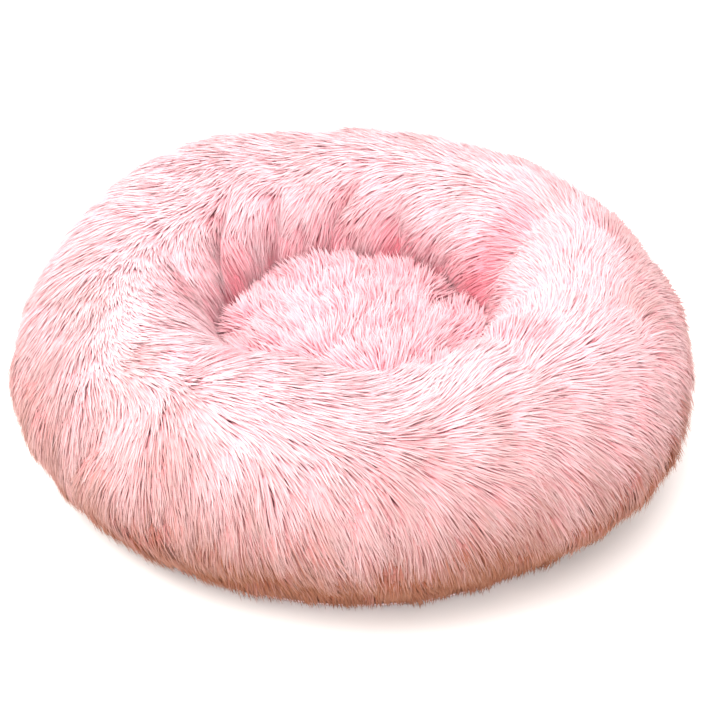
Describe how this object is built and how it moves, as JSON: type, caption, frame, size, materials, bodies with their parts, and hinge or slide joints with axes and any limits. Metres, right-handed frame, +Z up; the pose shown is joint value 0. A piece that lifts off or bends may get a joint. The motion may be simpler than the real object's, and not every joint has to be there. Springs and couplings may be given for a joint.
{
  "type": "pet cushion bed",
  "caption": "Round plush pet bed: a long-pile fur bolster ring round a padded nest, on a flat anti-slip base with a hidden curved zip.",
  "frame": {"origin": "middle of the underside of the anti-slip coating, on the surface the bed stands on", "axes": "+Z up through the nest; the zip runs round the +Y side of the base, so -Y is the front; +X is to the right seen from the front"},
  "size_m": [0.5939, 0.594, 0.183],
  "materials": {
    "long_pile_fur": "matte",
    "base_cloth": "matte",
    "seam_tape": "matte",
    "anti_slip_coating": "satin",
    "liner_cloth": "matte",
    "fibre_fill": "matte",
    "zip_tape": "matte",
    "zip_coil": "satin",
    "zip_metal": "satin",
    "sewing_thread": "matte",
    "label_satin": "satin"
  },
  "bodies": {
    "bed": {"bolster_cover": "long_pile_fur", "pad_cover": "long_pile_fur", "nest_seam_tape": "seam_tape", "nest_seam_stitches": "sewing_thread", "base_panel": "base_cloth", "anti_slip_dots": "anti_slip_coating", "hem_band": "seam_tape", "hem_stitches": "sewing_thread", "bolster_liner": "liner_cloth", "pad_liner": "liner_cloth", "bolster_fill": "fibre_fill", "pad_fill": "fibre_fill", "bolster_liner_closing_stitches": "sewing_thread", "pad_liner_closing_stitches": "sewing_thread", "zip_tape_inner": "zip_tape", "zip_tape_outer": "zip_tape", "zip_coil_inner": "zip_coil", "zip_coil_outer": "zip_coil", "zip_stitches_inner": "sewing_thread", "zip_stitches_outer": "sewing_thread", "zip_top_stops": "zip_metal", "zip_bottom_stop": "zip_metal", "zip_end_tabs": "seam_tape", "care_label": "label_satin", "care_label_stitches": "sewing_thread"},
    "slider": {"zip_slider": "zip_metal"},
    "pull_tab": {"zip_pull_tab": "zip_metal"}
  },
  "joints": [
    {"name": "zip_travel", "type": "hinge", "parent": "bed", "child": "slider", "pos_m": [0, 0, 0.0087], "axis": [0, 0, 1], "range_deg": [0, 150]},
    {"name": "pull_tab_swing", "type": "hinge", "parent": "slider", "child": "pull_tab", "pos_m": [0.2319, 0.05782, 0.0052], "axis": [-0.9703, -0.2419, 0], "range_deg": [0, 170]}
  ]
}
